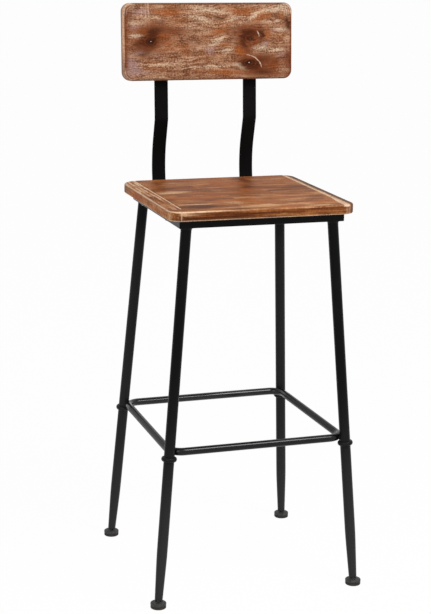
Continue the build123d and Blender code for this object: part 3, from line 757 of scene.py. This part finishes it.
def makeFootrestWeld(name, seed):
    # rippled bead round the patch where bar and leg meet: a small ring in the plane that touches both
    middle = legAt(name, footrestLevel(name))
    up = legLine(name)[1]
    out = np.array([-np.sign(middle[0]), -np.sign(middle[1]), 0.0]) / sqrt(2)
    out = unit(out - up * (out @ up))
    weld = footWeld
    t, u = [around(count) for count in weld["sides"]]
    ripple = weld["ripple"] * np.sin(weld["ripples"] * t + wave(t, seed, 4))
    thick = weld["radius"] * (1 + ripple + weld["lump"] * wave(t, seed + 1, 5))
    outward = outer(np.cos(t), up) + outer(np.sin(t), np.cross(up, out))
    away = legShape["radius"] - weld["sink"] - weld["curve"] * np.sin(t) ** 2
    core = middle + out * away[:, None] + weld["reach"] * outward
    ring = np.cos(u)[:, None] * outward[:, None] + np.sin(u)[:, None] * out
    grid = core[:, None] + thick[:, None, None] * ring
    addPiece("footrest.weld." + name, [(grid, True)], blackSteel, "frame")


def makeCollar(name):
    # half-round bead turned about the leg, with its bore just clear of it
    shape = collarShape
    across = footrest["radius"] - footrest["bite"]
    touch = footrest["radius"] + shape["radius"] + shape["gap"]
    height = footrestLevel(name) - sqrt(touch ** 2 - across ** 2)
    foot, up = legLine(name)[:2]
    along = np.linalg.norm(legAt(name, height) - foot)
    t = np.linspace(-np.pi / 2, np.pi / 2, shape["rows"])
    inner, thick = legShape["radius"] + shape["fit"], shape["radius"]
    bead = np.stack([inner + thick * np.cos(t) ** shape["fullness"], along + thick * np.sin(t)], -1)
    grid = turnedGrid(bead, foot, up, shape["sides"])
    addPiece("collar." + name, [(grid, True)], blackSteel, "frame", ["collar_" + name])


makeFootrest()
for number, name in enumerate(corners):
    makeFootrestWeld(name, 31 + number)
    makeCollar(name)
print("stool: footrest done")

barShape = {"width": 0.027, "thickness": 0.005, "edge": 0.0011, "ease": 0.0006, "spacing": 0.092,
            "footFront": 0.10425, "footLevel": 0.7145, "bow": 0.7793, "lowLean": 15.3, "midLean": 15.0,
            "kink": (0.1735, 0.868), "topLean": 4.0, "topReach": 0.2005, "bends": (0.0145, 0.182, 0.020),
            "pathStep": 0.002, "rimStep": 0.0012}


def backPoint(x, y, z):
    # a point of the leaning back frame: turned about the bars' kink by the lean
    y0, z0 = barShape["kink"]
    c, s = cos(radians(barShape["topLean"])), sin(radians(barShape["topLean"]))
    return np.stack(np.broadcast_arrays(x, y0 + c * y + s * z, z0 - s * y + c * z), -1)


def makeBackBar(side, name):
    # flat section with rolled edges carried up the bent path; the rim of both ends is eased
    shape, ease = barShape, barShape["ease"]
    kinkY, kinkZ = shape["kink"]
    bowY = kinkY + (kinkZ - shape["bow"]) * tan(radians(shape["midLean"]))
    heelY = bowY - (shape["bow"] - shape["footLevel"]) * tan(radians(shape["lowLean"]))
    x = side * shape["spacing"]
    stops = [(x, shape["footFront"], shape["footLevel"]), (x, heelY, shape["footLevel"]),
             (x, bowY, shape["bow"]), (x, kinkY, kinkZ), tuple(backPoint(x, 0, shape["topReach"]))]
    path = roundedPath(stops, shape["bends"], False, shape["pathStep"])
    outline, normal = roundedRectangle(shape["width"], shape["thickness"], shape["edge"], shape["rimStep"])
    grid = sweptGrid(path, outline, (1, 0, 0), False)
    drawn = sweptGrid(path, outline - normal * ease, (1, 0, 0), False)
    grid = np.concatenate([drawn[:1], grid[:1] + ease * unit(path[1] - path[0]), grid[1:-1],
                           grid[-1:] - ease * unit(path[-1] - path[-2]), drawn[-1:]])
    addPiece("back.bar." + name, [(grid, False)], barSteel, "frame", ["back_bar_" + name], 50)


panelShape = {"width": 0.346, "height": 0.149, "thickness": 0.022, "corner": 0.017, "edge": 0.0025,
              "low": 0.0765, "rear": -0.0025, "wear": 0.0006, "uneven": 0.35, "nickGain": 2.2,
              "nickFloor": 0.35, "rimStep": 0.0022, "faceRings": (0.02, 0.3, 0.6, 0.82, 0.93)}


def makeBackrest():
    # rounded outline carried round a worn quarter-round edge, both faces drawn in to the middle
    shape = panelShape
    outline, normal = roundedRectangle(shape["width"], shape["height"], shape["corner"], shape["rimStep"])
    t = around(len(outline))
    flat = np.zeros_like(t)
    edge, backEdge = [shape["edge"] * (1 + shape["uneven"] * wave(t, seed, 40, 3)) for seed in (51, 52)]
    nick = shape["wear"] * np.clip(wave(t, 53, 60, 5) * shape["nickGain"] - shape["nickFloor"], 0, 1)
    turn = np.linspace(0, np.pi / 2, 8)
    half = shape["thickness"] / 2
    rows = [(outline * scale, flat - half) for scale in shape["faceRings"]]
    rows += [(outline - normal * (edge * (1 - np.sin(q)) + nick * (1 - 0.4 * np.sin(q)))[:, None],
              -half + edge * (1 - np.cos(q))) for q in turn]
    rows += [(outline - normal * (backEdge * (1 - np.sin(q)))[:, None], half - backEdge * (1 - np.cos(q)))
             for q in turn[::-1]]
    rows += [(outline * scale, flat + half) for scale in shape["faceRings"][::-1]]
    place, deep = [np.stack(column) for column in zip(*rows)]
    middle = shape["low"] + shape["height"] / 2
    grid = backPoint(place[..., 0], shape["rear"] - half + deep, middle + place[..., 1])
    addPiece("backrest.board", [(grid, False)], backWood, "frame", ["backrest_board"], 50)


backWood = makeBackWood()
makeBackBar(-1, "left")
makeBackBar(1, "right")
makeBackrest()
print("stool: back done")

footShape = {"rim": 0.015, "soleHeight": 0.0056, "soleEdge": 0.0013, "inset": 0.0002, "rimTop": 0.0094,
             "capTop": 0.0124, "mouth": 0.0065, "neck": 0.0044, "capEdge": 0.001, "ball": 0.0055,
             "fit": 0.00005, "hollow": 0.0004, "sides": 72}


def makeFoot(name):
    # cap and sole turned about the upright through the ball
    shape = footShape
    x, y = corners[name][0]
    q = np.linspace(0, np.pi / 2, 7)
    run, drop = shape["rim"] - shape["mouth"], shape["capTop"] - shape["rimTop"]
    big = (run ** 2 + drop ** 2) / (2 * drop)                # radius of the cap's dome
    sweep = np.linspace(0, np.arcsin(run / big), 16)
    e = shape["capEdge"]
    low, ball = shape["soleHeight"], legShape["ball"]
    socket = shape["ball"] + shape["fit"]
    split = np.arcsin((low - ball) / socket)                 # where the socket passes from cap to sole
    cap = [(shape["mouth"] - 0.0004, shape["capTop"] - 0.0002)]
    cap += [(shape["mouth"] + big * sin(v), shape["capTop"] - big * (1 - cos(v))) for v in sweep[:-1]]
    cap += [(shape["rim"] - 0.0003 * (1 - sin(v)), shape["rimTop"] - 0.0002 + 0.0004 * cos(v)) for v in q]
    cap += [(shape["rim"] - e * (1 - cos(v)), low + e * (1 - sin(v))) for v in q]
    inside = np.linspace(split, np.arccos(shape["neck"] / socket), 14)
    cap += arcPoints(0, ball, socket, inside)
    grid = turnedGrid(cap, (x, y, 0), (0, 0, 1), shape["sides"])
    addPiece("foot.cap." + name, [(grid, True)], blackPlastic, "pad_" + name,
             ["foot_cap_" + name])
    r, e, hollow = shape["rim"] - shape["inset"], shape["soleEdge"], shape["hollow"]
    bowl = np.linspace(split, -np.pi / 2 + 0.01, 14)
    sole = arcPoints(0, ball, socket, bowl[::-1])
    sole += [(r - e * (1 - sin(v)), low - e * (1 - cos(v))) for v in q]
    sole += [(r - e * (1 - cos(v)), e * (1 - sin(v))) for v in q]
    sole += [(r * 0.75, 0.0), (r * 0.72, hollow), (0.00005, hollow)]
    grid = turnedGrid(sole, (x, y, 0), (0, 0, 1), shape["sides"])
    addPiece("foot.sole." + name, [(grid, False)], blackRubber, "pad_" + name,
             ["foot_sole_" + name])


stemShape = {"ball": 0.0055, "neck": 0.0032, "flange": 0.0055, "flangeThick": 0.0008, "gap": 0.0001,
             "stud": 0.0040, "end": 0.0346, "pitch": 0.00125, "cut": 0.0006, "bevel": 0.0002, "nose": 0.0012,
             "start": 0.0004, "fade": 0.001, "sides": 32}


def makeStem(name):
    # ball, neck and stop flange turned about the leg line, then a stud whose radius dips by a winding thread
    shape, bevel = stemShape, stemShape["bevel"]
    foot, up = legLine(name)[:2]
    high = legShape["tipAt"] - shape["gap"]
    low, wide = high - shape["flangeThick"], shape["flange"]
    q = np.linspace(-np.pi / 2 + 0.02, np.arccos(shape["neck"] / shape["ball"]), 20)
    body = arcPoints(0, 0, shape["ball"], q)
    body += [(shape["neck"], low), (wide - bevel, low), (wide, low + bevel), (wide, high - bevel),
             (wide - bevel, high), (shape["stud"], high)]
    t = around(shape["sides"])
    s = np.arange(high + shape["start"], shape["end"], shape["pitch"] / 8)[:, None]
    turnShare = (s / shape["pitch"] - t / tau) % 1.0
    fade = np.clip((s - high - shape["start"]) / shape["fade"], 0, 1)
    radius = shape["stud"] - shape["cut"] * fade * np.abs(2 * turnShare - 1)
    nose = np.clip((s - shape["end"] + shape["nose"]) / shape["nose"], 0, 1) * shape["nose"]
    stud = spunGrid(foot, up, t, np.minimum(radius, shape["stud"] - nose), s)
    grid = np.concatenate([turnedGrid(body, foot, up, shape["sides"]), stud])
    addPiece("foot.stem." + name, [(grid, False)], zincSteel, "stem_" + name,
             ["foot_stem_" + name])


for name in corners:
    makeFoot(name)
    makeStem(name)
print("stool: feet done")

boltShape = {"head": 0.0055, "height": 0.0033, "shank": 0.003, "flats": 0.004, "socketDepth": 0.0018}
screwShape = {"head": 0.004, "height": 0.0024, "shank": 0.002, "cross": 0.0022, "socketDepth": 0.0013}
# shares of the head's height and radius, and of the cross recess's reach between its arms
headShare = {"lip": 0.28, "shoulder": 0.55, "waist": 0.34}
# lengths under the head, heights and lines of the fasteners
fastening = {"panelBolt": 0.017, "panelHeights": (0.116, 0.186), "footBolt": 0.0125, "footApart": 0.0065,
             "screw": 0.027, "rearLine": 0.12475, "frontLine": -0.151, "frontX": (-0.0795, 0, 0.0795),
             "rearX": (-0.03975, 0.03975), "sideX": (-0.1415, 0.1465), "sideY": (-0.115, -0.0355, 0.044),
             "strip": [(-0.15325, -0.07525), (-0.15325, 0.08375)]}


def headSheet(shape, base, out, length, slots):
    # shank, domed head and a driver recess about one axis; the recess is a hexagon or a four-armed cross
    t = around(48)
    if slots == 6:
        recess = shape["flats"] / 2 / np.cos((t + np.pi / 6) % (np.pi / 3) - np.pi / 6)
    else:
        waist = headShare["waist"]
        recess = shape["cross"] * (waist + (1 - waist) * np.abs(np.cos(2 * t)) ** 6)
    head, high, shank, tiny = shape["head"], shape["height"], shape["shank"], 0.00005
    floor, lip = high - shape["socketDepth"], high * headShare["lip"]
    shoulder = max(recess.max() + 0.0004, head * headShare["shoulder"])
    rows = [(tiny, -length), (shank - 0.0005, -length), (shank, -length + 0.0006), (shank, 0.0),
            (head - 0.0001, 0.0)]
    rows += [(shoulder + (head - shoulder) * np.cos(v), lip + (high - lip) * np.sin(v))
             for v in np.linspace(0, np.pi / 2, 10)]
    rows += [(recess + 0.00012, high - 0.00001), (recess, high - 0.00015), (recess * 0.94, floor),
             (tiny, floor - 0.0003)]
    radius = np.stack([r + np.zeros_like(t) for r, s in rows])
    along = np.array([s for r, s in rows])[:, None]
    return spunGrid(base, out, t, radius, along), False


def makeFasteners():
    # bolts through the bars into the backrest, bolts up through their feet, and screws up through the rails
    lean, half, spacing = radians(barShape["topLean"]), barShape["thickness"] / 2, barShape["spacing"]
    rear, down = np.array([0, cos(lean), -sin(lean)]), np.array([0, 0, -1.0])
    plan = fastening
    sheets = [headSheet(boltShape, backPoint(side * spacing, half, height), rear, plan["panelBolt"], 6)
              for side in (-1, 1) for height in plan["panelHeights"]]
    addPiece("backrest.bolts", sheets, zincSteel, "frame", ["backrest_bolts"])
    level = barShape["footLevel"] - half
    sheets = [headSheet(boltShape, (side * spacing + dx, plan["rearLine"], level), down, plan["footBolt"], 6)
              for side in (-1, 1) for dx in (-plan["footApart"], plan["footApart"])]
    addPiece("back.bar.bolts", sheets, zincSteel, "frame", ["back_bar_bolts"])
    places = [(x, plan["frontLine"]) for x in plan["frontX"]] + [(x, plan["rearLine"]) for x in plan["rearX"]]
    places += [(x, y) for x in plan["sideX"] for y in plan["sideY"]] + plan["strip"]
    sheets = [headSheet(screwShape, (x, y, legShape["top"]), down, plan["screw"], 4) for x, y in places]
    addPiece("seat.screws", sheets, zincSteel, "frame", ["seat_screws"])


makeFasteners()
print("stool: fasteners done")

# finishes of the CAD pieces by a part of their names; the first that fits counts
finishOf = {"screws": zincSteel, "seat": seatWood, "nuts": zincSteel, "inserts": zincSteel,
            "bush": blackPlastic, "rail": blackSteel}
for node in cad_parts:
    part = next((key for key in finishOf if key in node), None)
    thing = bpy.data.objects.get(node)
    if part and thing:
        if not thing.material_slots:
            thing.data.materials.append(None)
        for slot in thing.material_slots:
            slot.link = "OBJECT"
            slot.material = finishOf[part]

studio = {"world": 0.40, "key": 27.0, "strip": 39.0, "floor": 0.97, "glow": 0.97, "reach": 40}


def seenDirectly(w):
    # 1 for what the camera sees itself, in a gloss or through something clear, 0 for plain light
    ray = w.add("ShaderNodeLightPath").socket.node.outputs
    camera, gloss, clear = [Wire(w.tree, ray["Is " + kind + " Ray"])
                            for kind in ("Camera", "Glossy", "Transmission")]
    return camera.most(gloss).most(clear)


def makeStudio():
    # even white surround, a large soft box ahead and to the left, one overhead, and a pale floor
    scene = bpy.context.scene
    world = bpy.data.worlds.new("studio")
    world.use_nodes = True
    w = Wire(world.node_tree)
    back = world.node_tree.nodes["Background"]
    back.inputs["Color"].default_value = (1, 1, 1, 1)
    feed(back, "Strength", seenDirectly(w) * (1 - studio["world"]) + studio["world"])
    scene.world = world
    for name, place, aim, wide, high in (("key", (-2.0, -2.4, 2.0), (0, 0, 0.7), 1.8, 1.8),
                                         ("strip", (0.83, -1.45, 2.45), (0, -0.15, 0.4), 0.85, 0.95)):
        lamp = bpy.data.lights.new(name, "AREA")
        lamp.shape, lamp.size, lamp.size_y, lamp.energy = "RECTANGLE", wide, high, studio[name]
        holder = bpy.data.objects.new(name, lamp)
        holder.location = place
        holder.rotation_euler = (Vector(aim) - Vector(place)).to_track_quat("-Z", "Y").to_euler()
        scene.collection.objects.link(holder)

    floorMesh = bpy.data.meshes.new("floor")
    r = studio["reach"]
    floorMesh.from_pydata([(-r, -r, 0), (r, -r, 0), (r, r, 0), (-r, r, 0)], [], [(0, 1, 2, 3)])
    floor = bpy.data.objects.new("floor", floorMesh)
    scene.collection.objects.link(floor)
    pale = bpy.data.materials.new("paleFloor")
    pale.use_nodes = True
    tree = pale.node_tree
    tree.nodes.clear()
    w = Wire(tree)
    matt = w.add("ShaderNodeBsdfDiffuse", None, {"Color": (studio["floor"],) * 3 + (1,)})
    glow = w.add("ShaderNodeEmission", None, {"Color": (1, 1, 1, 1), "Strength": 1.0})
    mixed = w.add("ShaderNodeMixShader", None, {0: seenDirectly(w) * studio["glow"], 1: matt, 2: glow})
    out = tree.nodes.new("ShaderNodeOutputMaterial")
    tree.links.new(mixed.socket, out.inputs[0])
    floorMesh.materials.append(pale)


cameraSet = {"place": (-1.004298, -2.888886, 1.282751), "turn": (76.03478, -0.94321, -18.37803),
             "lens": 95.171}


def makeCamera():
    # the camera that was fitted to the photo
    camera = bpy.data.cameras.new("photoView")
    camera.sensor_fit, camera.sensor_height, camera.lens = "VERTICAL", 36.0, cameraSet["lens"]
    holder = bpy.data.objects.new("photoView", camera)
    holder.location = cameraSet["place"]
    holder.rotation_euler = [radians(v) for v in cameraSet["turn"]]
    bpy.context.scene.collection.objects.link(holder)
    bpy.context.scene.camera = holder


makeStudio()
makeCamera()
bpy.context.scene.view_settings.view_transform = "Standard"
print("stool: studio and camera ready")
